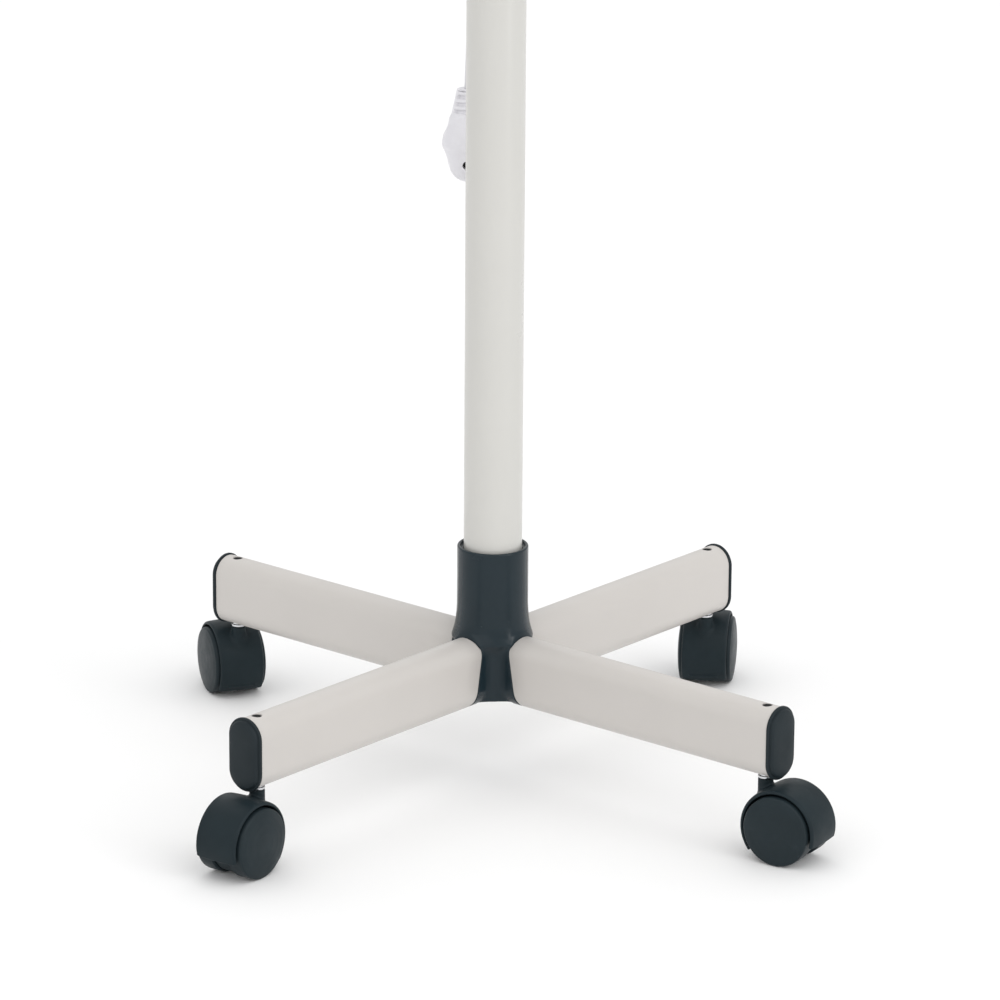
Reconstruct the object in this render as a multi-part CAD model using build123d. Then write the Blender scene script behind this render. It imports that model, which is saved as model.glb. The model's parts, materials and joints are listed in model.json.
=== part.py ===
from build123d import *
import math
import os

os.makedirs("parts", exist_ok=True)

# Facial steamer on a four-legged castor stand.
# Millimetres, +Z up, the front of the machine faces -Y.
# Origin: on the floor, on the axis of the post.

# ------------------------------------------------------------------ driving dimensions
POST_D = 40.0            # outer diameter of the fixed post
POST_WALL = 2.0
POST_Z0, POST_Z1 = 66.0, 700.0
MAST_D = 32.0            # chromed telescopic tube
MAST_WALL = 1.5
MAST_Z0, MAST_Z1 = 560.0, 933.0

LEG_TOP = 105.0          # top of the legs above the floor
LEG_H, LEG_W, LEG_WALL = 49.0, 26.0, 2.0
LEG_END_R = 248.5        # outer end of a leg tube, from the post axis
STEM_R = 238.8           # castor stem axis, from the post axis
LEG_AZ = {"front_right": -45.0, "front_left": -135.0, "back_left": 135.0, "back_right": 45.0}
LEG_Z = LEG_TOP - LEG_H / 2
LEG_BOT = LEG_TOP - LEG_H

WHEEL_R = 24.0           # 48 mm twin-wheel castors, sold as the 50 mm class
CASTOR_TRAIL = 17.6
CASTOR_AZ = {"front_right": -37.0, "front_left": -130.4, "back_left": 105.5, "back_right": 77.0}
HOOD_R = 28.4
HOOD_ROOM = 25.6         # inside of the hood over the wheels
HOOD_HALF_W = 16.3
WEB_HALF = 6.0
AXLE_R = 3.0

HUB_R = 24.45
HUB_TOP = 165.7
HUB_SKIRT_R = 28.0
HUB_BOT = 56.5           # under the four arms
CORE_BOT = 60.5          # under the core between them

JAR_Y = -100.0           # axis of jar, boiler head and arm turret
HEAD_BOT, HEAD_TOP = 905.0, 1122.0
NOSE_BOT = 1010.0
HEAD_HALF_W = 74.0
HEAD_BACK, HEAD_FRONT, TOWER_FRONT = 85.0, -172.0, -30.0
SKIN = 2.5

ARM_Z = 1162.0           # tilt axis of the steam arm
ARM_ELEV = 35.0
ARM_LEN = 285.0
BALL_R = 24.0
NOZZLE_DROP = 55.0       # bend of the nozzle elbow

CORD_D = 7.0
CORD_LEN = 1800.0
CORD_X, CORD_Y = -11.0, 63.0
HANK_Z, HANK_H = 673.0, 156.0
PLUG_X, PLUG_TOP = -12.8, 471.0
FIT = 0.05               # radial clearance of a running fit

OUT = {}


def save(name, shape):
    shape.label = name
    OUT[name] = shape
    export_step(shape, "parts/%s.step" % name)


def cyl(r, z0, z1, x=0.0, y=0.0):
    return Pos(x, y, (z0 + z1) / 2) * Cylinder(r, z1 - z0)


def cyl_x(r, x0, x1, y, z):
    return Pos((x0 + x1) / 2, y, z) * (Rot(0, 90, 0) * Cylinder(r, x1 - x0))


def cyl_y(r, y0, y1, x, z):
    return Pos(x, (y0 + y1) / 2, z) * (Rot(90, 0, 0) * Cylinder(r, y1 - y0))


def block(x0, x1, y0, y1, z0, z1):
    return Pos((x0 + x1) / 2, (y0 + y1) / 2, (z0 + z1) / 2) * Box(x1 - x0, y1 - y0, z1 - z0)


def turned(points, x=0.0, y=0.0):
    # solid of revolution about a vertical axis, points are (radius, z)
    face = make_face(Plane.XZ * Polyline(*points, close=True))
    return Pos(x, y, 0) * revolve(face, Axis.Z)


def group(shapes):
    return Compound(children=list(shapes))


def soft(shape, edges, r):
    # fillet, falling back to smaller radii
    for k in (1.0, 0.7, 0.45):
        try:
            out = fillet(edges, r * k)
            if out.is_valid:
                return out
        except Exception:
            pass
    return shape


# ------------------------------------------------------------------ legs and hub
def oval_prism(s0, s1, h, w):
    # flat-oval bar along +X, standing on edge, centred on the leg height
    sk = Plane(origin=(s0, 0, LEG_Z), x_dir=(0, 1, 0), z_dir=(1, 0, 0)) * (Rot(0, 0, 90) * SlotOverall(h, w))
    return extrude(sk, s1 - s0)


# slanted joint between hub and leg: 26 mm out at z 94, 31 mm out at z 65
def joint_s(z):
    return 26.0 + (94.0 - z) * 5.0 / 29.0


wedge = extrude(
    Plane.XZ * make_face(Polyline((-80, 30), (joint_s(30), 30), (joint_s(130), 130), (-80, 130), close=True)),
    40, both=True)

skirt_pts = [(0, HUB_TOP), (HUB_R - 0.7, HUB_TOP), (HUB_R, HUB_TOP - 0.7), (HUB_R, 124), (24.7, 118), (25.3, 112.5),
             (26.4, 107), (HUB_SKIRT_R - 0.3, 102.5), (HUB_SKIRT_R, 100.5), (HUB_SKIRT_R - 0.5, 99.5), (22.6, 97.5),
             (22.6, CORE_BOT), (0, CORE_BOT)]
hub = turned(skirt_pts)
for az in LEG_AZ.values():
    arm = oval_prism(0, 40, LEG_H, LEG_W) & wedge
    arm = arm & block(-1, 60, -40, 40, HUB_BOT, 140)
    spigot = oval_prism(20, 62, LEG_H - 2 * LEG_WALL - 0.2, LEG_W - 2 * LEG_WALL - 0.2)
    spigot = spigot - oval_prism(30, 63, 37.0, 14.0)
    hub = hub + Rot(0, 0, az) * (arm + spigot)
hub = hub - cyl(POST_D / 2 + 0.05, POST_Z0, 200) - cyl(22.2, HUB_TOP - 2.4, 200)
hub = hub - cyl(5.3, 40, 70) - cyl(16.05, 40, CORE_BOT)
save("hub_casting", hub)

collar_cut = turned([(0, 99.4), (27.5, 99.4), (28.05, 100.4), (27.75, 102.6), (26.45, 107.1), (0, 107.2)])
for name, az in LEG_AZ.items():
    leg = oval_prism(20, LEG_END_R, LEG_H, LEG_W) - oval_prism(10, LEG_END_R + 5, LEG_H - 2 * LEG_WALL, LEG_W - 2 * LEG_WALL)
    leg = leg - wedge - collar_cut
    leg = leg - cyl(3.5, 95, 110, STEM_R) - cyl(4.5, 50, 70, STEM_R)
    save("leg_" + name, Rot(0, 0, az) * leg)

plate = cyl(16.0, CORE_BOT - 1.5, CORE_BOT) - cyl(5.3, 40, 70)
save("hub_bottom_plate", plate)

# the bolt that draws the post down into the hub and holds the plate
hexa = Pos(0, 0, CORE_BOT - 4.7) * extrude(RegularPolygon(4.0, 6), 2.0)
bolt_head = cyl(8.4, CORE_BOT - 4.7, CORE_BOT - 1.5) - hexa
save("post_bolt", bolt_head + cyl(5.0, CORE_BOT - 1.5, 84) + cyl(POST_D / 2 - POST_WALL - 0.1, POST_Z0, POST_Z0 + 14))

caps, sockets, stems = [], [], []
for az in LEG_AZ.values():
    rim = oval_prism(LEG_END_R, LEG_END_R + 2.0, 51.0, 28.2)
    pad = oval_prism(LEG_END_R + 2.0, LEG_END_R + 4.2, 47.6, 24.8)
    pad = soft(pad, pad.faces().sort_by(Axis.X)[-1].edges(), 1.6)
    cheeks = block(234, LEG_END_R, 8.7, 10.85, 70, 92) + block(234, LEG_END_R, -10.85, -8.7, 70, 92)
    cap = rim + pad + cheeks
    cap = cap - block(LEG_END_R + 3.6, LEG_END_R + 6, -2.0, 2.0, LEG_Z - 1.2, LEG_Z + 1.2)
    caps.append(Rot(0, 0, az) * cap)
    so = cyl(7.5, LEG_BOT, LEG_TOP, STEM_R) & oval_prism(220, 247, LEG_H - 2 * LEG_WALL - 0.1, LEG_W - 2 * LEG_WALL)
    so = so & block(220, 250, -20, 20, 40, LEG_TOP - LEG_WALL - 1.6)
    so = so - cyl(4.2, 40, 120, STEM_R)
    sockets.append(Rot(0, 0, az) * so)
    st = cyl(4.2, LEG_BOT, 90, STEM_R) + cyl(5.4, LEG_BOT - 2.1, LEG_BOT, STEM_R) + cyl(4.0, 30.0, LEG_BOT - 2.1, STEM_R)
    stems.append(Rot(0, 0, az) * st)
save("leg_end_caps", group(caps))
save("castor_sockets", group(sockets))
save("castor_stems", group(stems))


# ------------------------------------------------------------------ castors
# local frame: stem axis on the origin, trailing along +X, axle along Y
def hood_solid():
    cx, cz = CASTOR_TRAIL, WHEEL_R
    drum = cyl_y(HOOD_R, -HOOD_HALF_W, HOOD_HALF_W, cx, cz)
    drum = soft(drum, drum.edges(), 1.2)
    inside = cyl_y(HOOD_ROOM, WEB_HALF, HOOD_HALF_W + 3, cx, cz) + cyl_y(HOOD_ROOM, -HOOD_HALF_W - 3, -WEB_HALF, cx, cz)
    drum = drum - inside
    # open below: 16 degrees under the axle at the trailing side, 40 degrees under it at the stem side
    a0, a1 = math.radians(-16), math.radians(-140)
    L = 60
    cut = extrude(Plane.XZ * make_face(Polyline(
        (cx, cz), (cx + L * math.cos(a0), cz + L * math.sin(a0)), (cx + L, cz - L),
        (cx - L, cz - L), (cx + L * math.cos(a1), cz + L * math.sin(a1)), close=True)), 30, both=True)
    core = cyl_y(20.5, -WEB_HALF, WEB_HALF, cx, cz)
    hood = (drum - cut) + core
    neck = cyl(5.2, 30.0, 53.6)
    hood = hood + neck
    hood = hood - cyl(4.0 + FIT, 29.5, 60)
    # bore for the axle
    hood = hood - cyl_y(AXLE_R, -9, 9, cx, cz)
    return hood


def wheel_solid(side):
    # side +1 or -1 along the axle
    y0, y1 = 6.5, 20.9
    pts = [(AXLE_R + FIT, y0), (20.5, y0), (23.2, y0 + 0.6), (WHEEL_R, y0 + 1.6), (WHEEL_R, 17.3), (23.85, 18.0),
           (23.4, 18.6), (22.4, 19.05), (19.0, 19.65), (14.0, 20.25), (8.0, 20.7), (0.0, y1),
           (0.0, 18.0), (AXLE_R + FIT, 18.0)]
    prof = make_face(Polyline(*[(r, h) for r, h in pts], close=True))
    w = revolve(Plane.XY * prof, Axis.Y)
    if side < 0:
        w = mirror(w, Plane.XZ)
    return Pos(CASTOR_TRAIL, 0, WHEEL_R) * w


hood0 = hood_solid()
axle0 = cyl_y(AXLE_R, -17.6, 17.6, CASTOR_TRAIL, WHEEL_R)
wheels0 = {"left": wheel_solid(1), "right": wheel_solid(-1)}
for name, az in LEG_AZ.items():
    a = math.radians(az)
    loc = Pos(STEM_R * math.cos(a), STEM_R * math.sin(a), 0) * Rot(0, 0, CASTOR_AZ[name])
    # hood and its pressed-in axle are two solids of one node
    save("castor_fork_" + name, group([loc * hood0, loc * axle0]))
    for side, w in wheels0.items():
        save("castor_wheel_%s_%s" % (name, side), loc * w)

# ------------------------------------------------------------------ post, bush, clamp
post = cyl(POST_D / 2, POST_Z0, POST_Z1) - cyl(POST_D / 2 - POST_WALL, 0, 900)
save("post_tube", post)
save("guide_bush", cyl(POST_D / 2 - POST_WALL, 640, POST_Z1) - cyl(MAST_D / 2 + 0.06, 600, 800))

CLAMP_Z = 716.0
collar = turned([(0, 686), (23.4, 686), (24.6, 688), (27.0, 704), (27.0, 730), (25.8, 737), (22.0, 741), (0, 741)])
boss = cyl_x(12.0, 15, 39, 0, CLAMP_Z)
collar = collar + boss
collar = collar - cyl(POST_D / 2, 600, POST_Z1) - cyl(MAST_D / 2 + 0.35, 600, 800) - cyl_x(4.0 + FIT, 10, 60, 0, CLAMP_Z)
save("clamp_collar", collar)

stud = cyl_x(4.0, MAST_D / 2 + 0.5, 56, 0, CLAMP_Z)
kn = cyl_x(17.0, 41, 60, 0, CLAMP_Z)
for k in range(6):
    a = math.radians(60 * k + 30)
    kn = kn - cyl_x(6.0, 30, 70, 20.5 * math.cos(a), CLAMP_Z + 20.5 * math.sin(a))
kn = kn + cyl_x(9.0, 39.4, 41, 0, CLAMP_Z) + cyl_x(11.0, 60, 62, 0, CLAMP_Z)
kn = kn - cyl_x(4.0, 30, 56, 0, CLAMP_Z)
# knob and its moulded-in threaded stud are two solids of one node
save("clamp_knob", group([kn, stud]))

# ------------------------------------------------------------------ head casing
mast = cyl(MAST_D / 2, MAST_Z0, MAST_Z1) - cyl(MAST_D / 2 - MAST_WALL, 0, 1200)
save("mast_tube", mast)

sock = turned([(0, 878), (19.6, 878), (20.8, 880), (22.0, 897), (24.0, 899), (24.0, HEAD_BOT), (20.0, HEAD_BOT),
               (20.0, 935), (0, 935)])
save("mast_socket", sock - cyl(MAST_D / 2, 800, MAST_Z1) - cyl(12, 800, 1000))


def casing(i):
    # side outline of the head (y, z), inset by i, rounded, with softened side edges
    pts = [(HEAD_BACK - i, HEAD_BOT + i), (TOWER_FRONT + i, HEAD_BOT + i), (TOWER_FRONT + i, NOSE_BOT + i),
           (HEAD_FRONT + i, NOSE_BOT + i), (HEAD_FRONT + i, HEAD_TOP - i), (HEAD_BACK - i, HEAD_TOP - i)]
    rad = [8 - i, 6 - i * 0.6, 6 + i, 8 - i, 30 - i, 34 - i]
    sk = make_face(Plane.YZ * FilletPolyline(*pts, radius=rad, close=True))
    body = extrude(sk, HEAD_HALF_W - i, both=True)
    r = 5.4 - i
    side = body.faces().sort_by(Axis.X)
    edges = list(side[0].edges()) + list(side[-1].edges())
    return fillet(edges, r)


full = casing(0)
shell = full - casing(SKIN)
SPLIT = 930.0
upper = shell & block(-200, 200, -300, 200, SPLIT, 1300)
lower = shell & block(-200, 200, -300, 200, 800, SPLIT)
# openings of the upper shell: boiler hole, duct hole, panel cut-outs, vent slots in the back
upper = upper - cyl(56, 1000, 1020, 0, JAR_Y) - cyl(20.0, 1100, 1130, 0, JAR_Y)
KNOB_X, KNOB_Z = -27.0, 1062.0
SW_X, SW_Z = (14.0, 37.0), 1066.0
LAMP_Z = 1043.0
upper = upper - cyl_y(4.0, -200, -150, KNOB_X, KNOB_Z)
for x in SW_X:
    upper = upper - block(x - 7.5, x + 7.5, -200, -150, SW_Z - 10.5, SW_Z + 10.5) - cyl_y(2.5, -200, -150, x, LAMP_Z)
for k in range(6):
    z = 985 + 13 * k
    sl = extrude(Plane(origin=(0, 60, z), x_dir=(1, 0, 0), z_dir=(0, 1, 0)) * SlotOverall(84, 4.2), 60)
    upper = upper - sl
save("housing_shell", upper)
# base tub: floor hole for the mast socket, gland hole, screw holes
lower = lower - cyl(20.0, 890, 920) - cyl(6.0, 890, 920, CORD_X, CORD_Y)
SCREW_XY = [(-58, -12), (58, -12), (-58, 68), (58, 68)]
for x, y in SCREW_XY:
    lower = lower + (cyl(4.5, HEAD_BOT + SKIN, SPLIT - 2, x, y)) - cyl(1.9, 890, SPLIT, x, y)
save("housing_base", lower)
hs = []
for x, y in SCREW_XY:
    s = cyl(1.9, HEAD_BOT, HEAD_BOT + 20, x, y) + cyl(3.8, HEAD_BOT - 2.2, HEAD_BOT, x, y)
    s = s - block(x - 3, x + 3, y - 0.5, y + 0.5, HEAD_BOT - 2.3, HEAD_BOT - 1.2) - block(x - 0.5, x + 0.5, y - 3, y + 3, HEAD_BOT - 2.3, HEAD_BOT - 1.2)
    hs.append(s)
save("housing_screws", group(hs))

# fascia panel on the nose
fas = extrude(Plane.XZ.offset(-HEAD_FRONT) * (Pos(5, 1059) * RectangleRounded(104, 68, 9)), 2.6)
fas = soft(fas, fas.faces().sort_by(Axis.Y)[0].edges(), 0.9)
fas = fas - cyl_y(4.0, -200, -150, KNOB_X, KNOB_Z)
for x in SW_X:
    fas = fas - block(x - 7.5, x + 7.5, -200, -150, SW_Z - 10.5, SW_Z + 10.5) - cyl_y(2.5, -200, -150, x, LAMP_Z)
save("fascia_panel", fas)
FAS_Y = HEAD_FRONT - 2.6

lamps = []
for x in SW_X:
    l = cyl_y(2.5, FAS_Y, -166, x, LAMP_Z) + (Pos(x, FAS_Y, LAMP_Z) * Sphere(2.5))
    lamps.append(l)
save("indicator_lamps", group(lamps))

# rocker switches: housing pushed into the panel, rocker on its own trunnions
frames, PIV_Y = [], FAS_Y + 1.5
for x in SW_X:
    f = block(x - 7.5, x + 7.5, FAS_Y, -150, SW_Z - 10.5, SW_Z + 10.5)
    f = f + block(x - 8.6, x + 8.6, FAS_Y - 1.2, FAS_Y, SW_Z - 11.6, SW_Z + 11.6)
    f = f - block(x - 6.4, x + 6.4, FAS_Y - 5, -158, SW_Z - 9.5, SW_Z + 9.5)
    f = f - cyl_x(1.2 + FIT, x - 7.3, x + 7.3, PIV_Y, SW_Z)
    frames.append(f)
save("switch_housings", group(frames))


def rocker(x):
    # V-topped rocker inside a 9.1 mm circle about its pivot, stored tipped to "off"
    prof = Polyline((PIV_Y - 5.4, SW_Z + 8.6), (PIV_Y - 3.1, SW_Z), (PIV_Y - 5.4, SW_Z - 8.6), (PIV_Y + 3.0, SW_Z - 8.6),
                    (PIV_Y + 7.0, SW_Z - 3.0), (PIV_Y + 7.0, SW_Z + 3.0), (PIV_Y + 3.0, SW_Z + 8.6), close=True)
    r = extrude(Plane.YZ.offset(x) * make_face(prof), 6.0, both=True)
    r = r & cyl_x(9.15, x - 8, x + 8, PIV_Y, SW_Z)
    r = r + cyl_x(1.2, x - 7.2, x + 7.2, PIV_Y, SW_Z)
    c = Pos(x, PIV_Y, SW_Z)
    return c * Rot(-8, 0, 0) * Pos(-x, -PIV_Y, -SW_Z) * r


save("power_switch", rocker(SW_X[0]))
save("ozone_switch", rocker(SW_X[1]))

tk = cyl_y(15.5, FAS_Y - 3.4, FAS_Y - 0.5, KNOB_X, KNOB_Z)
cap = extrude(Plane.XZ.offset(-(FAS_Y - 3.4)) * (Pos(KNOB_X, KNOB_Z) * Circle(12.6)), 12.0, taper=5)
tk = tk + cap
for k in range(18):
    a = math.radians(20 * k + 10)
    tk = tk - cyl_y(0.9, FAS_Y - 30, FAS_Y - 4.4, KNOB_X + 12.5 * math.cos(a), KNOB_Z + 12.5 * math.sin(a))
tk = tk - block(KNOB_X - 0.7, KNOB_X + 0.7, FAS_Y - 16.5, FAS_Y - 14.6, KNOB_Z + 2, KNOB_Z + 13)
tk = tk + cyl_y(3.0, FAS_Y - 4, -152, KNOB_X, KNOB_Z)
save("timer_knob", tk)
tim = block(KNOB_X - 18, KNOB_X + 18, -168, -146, KNOB_Z - 18, KNOB_Z + 18) - cyl_y(3.0 + FIT, -200, -150, KNOB_X, KNOB_Z)
tim = tim + (cyl_y(4.0, FAS_Y, -168, KNOB_X, KNOB_Z) - cyl_y(3.0 + FIT, -200, -160, KNOB_X, KNOB_Z))
save("timer_module", tim)

# ------------------------------------------------------------------ boiler head, duct, heater, lamp
bh = turned([(18.0, 1012), (52, 1012), (52, 1005), (57.2, 1005), (57.2, 1000.5), (59.6, 1000.5), (59.6, 993.5), (57.2, 993.5), (57.2, 990), (60.6, 987.5),
             (62.2, 989), (62.2, NOSE_BOT), (56, NOSE_BOT), (56, 1018), (18.0, 1018)], 0, JAR_Y)
# three entry slots for the bayonet lugs, 45 degrees round from where the lugs rest
LUG_AZ = (30.0, 150.0, 270.0)
JAR_TURN = 45.0
for a in LUG_AZ:
    bh = bh - Pos(0, JAR_Y, 0) * Rot(0, 0, a + JAR_TURN) * block(50, 59.6, -6.2, 6.2, 980, 996)
# lamp bridge across the steam opening, heater sleeve
bridge = (block(-18.5, 18.5, JAR_Y - 5, JAR_Y + 5, 1012, 1018) & cyl(18.5, 1000, 1030, 0, JAR_Y))
bh = bh + bridge
bh = bh - cyl(2.5, 1000, 1030, 11, JAR_Y) - cyl(2.5, 1000, 1030, -11, JAR_Y)
save("boiler_head", bh)
save("steam_duct", cyl(20.0, 1018, HEAD_TOP, 0, JAR_Y) - cyl(18.0, 1000, 1200, 0, JAR_Y))
gask = turned([(44.0, 1009.4), (50.5, 1009.4), (50.5, 1012), (44.0, 1012)], 0, JAR_Y)
save("jar_gasket", gask)
# heater: close-wound coil on two risers
he = None
for k in range(7):
    t = Pos(0, JAR_Y, 889 + 7.4 * k) * Torus(10.5, 3.9)
    he = t if he is None else he + t
he = he + cyl(2.5, 933, 1021, 11, JAR_Y) + cyl(2.5, 889, 1021, -11, JAR_Y)
save("heating_element", he)
lampb = cyl(9.0, 1018, 1020.9, 0, JAR_Y) - cyl(2.5, 1000, 1030, 11, JAR_Y) - cyl(2.5, 1000, 1030, -11, JAR_Y)
lamp = lampb + cyl(7.0, 1020.9, 1032, 0, JAR_Y) + cyl(6.0, 1032, 1086, 0, JAR_Y) + (Pos(0, JAR_Y, 1086) * Sphere(6.0))
save("ozone_lamp", lamp)

pcb = block(-45, 45, 64, 65.6, 950, 1050)
pcb = pcb + block(-36, -10, 44, 64, 962, 992) + block(4, 20, 50, 64, 965, 985) + cyl_y(8, 46, 64, 30, 1010) + block(-38, -20, 54, 64, 1010, 1038)
pcb = pcb + block(-8, 12, 56, 64, 1018, 1040) + cyl_y(5, 50, 64, 30, 975) + block(-45, -37, 65.6, 82.5, 950, 958) + block(37, 45, 65.6, 82.5, 950, 958)
save("control_board", pcb)

# ------------------------------------------------------------------ jar
jar = turned([(0, 872), (40, 872), (47.5, 874), (51, 879), (52, 886), (52, 966), (50.5, 974), (46.8, 980), (46.2, 984),
              (46.2, 1003), (50.0, 1005), (50.0, 1009), (43.2, 1009), (43.2, 982), (44.5, 978), (48.0, 972), (49.2, 965),
              (49.2, 887), (48.4, 881), (45.5, 877), (39, 875.5), (0, 875.5)], 0, JAR_Y)
save("glass_jar", jar)
col = turned([(46.2, 985), (50.0, 981), (54.6, 981), (54.6, 988.5), (56.7, 990.5), (56.7, 1003), (50.4, 1003), (46.2, 1003)], 0, JAR_Y)
for a in LUG_AZ:
    lug = block(54, 58.9, -5.2, 5.2, 994.6, 999.4)
    col = col + Pos(0, JAR_Y, 0) * Rot(0, 0, a) * lug
save("jar_collar", col)
# handle: band under the collar and an open C grip at the front
hb = cyl(54.6, 969, 981, 0, JAR_Y) - cyl(52.0, 900, 1000, 0, JAR_Y)
gpath = FilletPolyline((0, JAR_Y - 53.2, 975), (0, JAR_Y - 88, 975), (0, JAR_Y - 93, 930), (0, JAR_Y - 84, 900), radius=[13, 30])
gsec = Plane(origin=(0, JAR_Y - 53.2, 975), x_dir=(1, 0, 0), z_dir=(0, -1, 0)) * RectangleRounded(15, 9, 4)
grip = sweep(gsec, path=gpath)
save("jar_handle", hb + grip)

# ------------------------------------------------------------------ steam arm
tur = turned([(0, 1100), (17.95, 1100), (17.95, HEAD_TOP + 0.3), (34, HEAD_TOP + 0.3), (34, 1127), (32.5, 1129), (29.6, 1132), (28.6, 1138), (29.0, ARM_Z - 12),
              (0, ARM_Z - 12)], 0, JAR_Y)
ears = cyl_x(11.5, -31, 31, JAR_Y, ARM_Z) + block(-31, 31, JAR_Y - 11.5, JAR_Y + 11.5, 1132, ARM_Z)
ears = ears - block(-25.2, 25.2, JAR_Y - 30, JAR_Y + 30, 1120, 1200)
tur = tur + ears
tur = tur - (Pos(0, JAR_Y, ARM_Z) * Sphere(BALL_R + 0.45)) - cyl(14.0, 1090, 1150, 0, JAR_Y) - cyl_x(3.0, -40, 40, JAR_Y, ARM_Z)
save("arm_turret", tur)
pins = [cyl_x(3.0, 17.5, 31, JAR_Y, ARM_Z), cyl_x(3.0, -31, -17.5, JAR_Y, ARM_Z)]
save("arm_pivot_pins", group(pins))

# local arm frame: ball centre at origin, arm along +Z, then leaned forwards
arm_place = Pos(0, JAR_Y, ARM_Z) * Rot(90 - ARM_ELEV, 0, 0)
ball = Sphere(BALL_R) - Sphere(19.0)
ball = ball + cyl(14.0, 17.5, 60.0)
ball = ball - cyl(11.0, 0, 80)
hole = Rot(-(90 - ARM_ELEV), 0, 0) * cyl(12.0, -40, 0)
ball = ball - hole
for sx in (1, -1):
    ball = ball + (cyl_x(5.5, min(sx * 15.0, sx * 23.0), max(sx * 15.0, sx * 23.0), 0, 0) & Sphere(BALL_R))
ball = ball - cyl_x(3.0 + FIT, -40, 40, 0, 0) - cyl(11.0, 0, 80)
save("arm_ball", arm_place * ball)

tube = turned([(14.0, 38), (15.2, 38), (17.0, 46), (17.0, ARM_LEN - 6), (15.6, ARM_LEN), (15.0, ARM_LEN), (15.0, ARM_LEN + 22), (12.5, ARM_LEN + 22), (12.5, 62), (14.0, 60)])
save("arm_tube", arm_place * tube)

# nozzle: collar on the arm end, elbow, flared outlet
NZ = ARM_LEN + 34.0
noz = turned([(0, ARM_LEN + 0.4), (19.0, ARM_LEN + 0.4), (20.0, ARM_LEN + 2), (20.5, ARM_LEN + 22), (20.5, NZ), (0, NZ)])
noz = noz + Pos(0, 0, NZ) * Sphere(20.5)
flare = turned([(0, 0), (20.0, 0), (20.2, 14), (21.5, 34), (25.0, 52), (26.0, 55), (25.0, 57.0), (0, 57)])
bend = Pos(0, 0, NZ) * Rot(NOZZLE_DROP, 0, 0)
noz = noz + bend * flare
fbore = turned([(0, 0), (15.5, 0), (16.0, 34), (20.5, 50), (22.5, 58), (0, 58)])
noz = noz - bend * fbore - (Pos(0, 0, NZ) * Sphere(15.5))
noz = noz - cyl(15.0 + FIT, ARM_LEN, ARM_LEN + 22.5) - cyl(12.5, ARM_LEN, NZ)
save("nozzle_head", arm_place * noz)
grid = Circle(15.75)
for k in range(6):
    a = math.radians(60 * k)
    grid = grid - Pos(9.8 * math.cos(a), 9.8 * math.sin(a)) * Circle(3.4)
grid = grid - Circle(4.2)
dish = extrude(grid, 2.0)
save("nozzle_grille", arm_place * bend * Pos(0, 0, 20) * dish)

# ------------------------------------------------------------------ mains cord, gland, hank and plug
gland = turned([(0, 875), (4.7, 875), (6.2, 896), (8.2, 900), (9.0, 901), (9.0, HEAD_BOT), (6.0, HEAD_BOT), (6.0, 913), (0, 913)], CORD_X, CORD_Y)
save("cord_gland", gland)


def cord_tube(points, label):
    pts = [Vector(*p) for p in points]
    rad = []
    for i in range(1, len(pts) - 1):
        a, b = pts[i] - pts[i - 1], pts[i + 1] - pts[i]
        half = math.radians(a.get_angle(b)) / 2
        rad.append(0.45 * min(a.length, b.length) / math.tan(half))
    print(label, "runs", [round((pts[i + 1] - pts[i]).length, 1) for i in range(len(pts) - 1)], "radii", [round(r, 1) for r in rad])
    path = FilletPolyline(*points, radius=rad)
    sec = Plane(origin=points[0], z_dir=tuple(pts[1] - pts[0])) * Circle(CORD_D / 2)
    tube = sweep(sec, path=path)
    print(label, "length", round(path.length, 1), "volume ratio", round(tube.volume / (math.pi * (CORD_D / 2) ** 2 * path.length), 4))
    return tube


Z1, Z0 = HANK_Z + HANK_H / 2, HANK_Z - HANK_H / 2
UP = [(CORD_X, CORD_Y, 875), (CORD_X - 0.2, CORD_Y, 838), (CORD_X + 0.5, CORD_Y + 0.5, 792), (CORD_X, CORD_Y, Z1)]
LOW = [(CORD_X, CORD_Y, Z0), (CORD_X + 0.3, CORD_Y - 0.3, 557), (CORD_X - 0.3, CORD_Y + 0.1, 513), (PLUG_X, CORD_Y, PLUG_TOP)]
save("cord_upper", cord_tube(UP, "cord_upper"))
save("cord_lower", cord_tube(LOW, "cord_lower"))

# tied hank: two round ends and a bundle pinched in at the middle
E, ER = HANK_H / 2 - 25.2, 25.2
ends = cyl_y(ER, CORD_Y - 18, CORD_Y + 18, CORD_X, HANK_Z + E) + cyl_y(ER, CORD_Y - 18, CORD_Y + 18, CORD_X, HANK_Z - E)


def rect_at(z, w, t):
    return Plane(origin=(CORD_X, CORD_Y, HANK_Z + z), x_dir=(1, 0, 0), z_dir=(0, 0, 1)) * Rectangle(w, t)


mid = extrude(rect_at(-11, 20, 29), 22)
top = loft([rect_at(11, 20, 29), rect_at(E, 50.3, 36)], ruled=True)
bot = loft([rect_at(-E, 50.3, 36), rect_at(-11, 20, 29)], ruled=True)
hank = ends + mid + top + bot
# flat lands where the two straight cord lengths meet the hank
hank = hank + cyl(CORD_D / 2, Z1 - 4, Z1, CORD_X, CORD_Y) + cyl(CORD_D / 2, Z0, Z0 + 4, CORD_X, CORD_Y)
save("cord_hank", hank)
tie = extrude(rect_at(-10, 23.2, 32.2), 20) - extrude(rect_at(-12, 20, 29), 24)
tie = soft(tie, tie.edges().filter_by(Axis.Z).sort_by(lambda e: -abs(e.center().X - CORD_X))[:4], 1.5)
save("hank_tie", tie)

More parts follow.
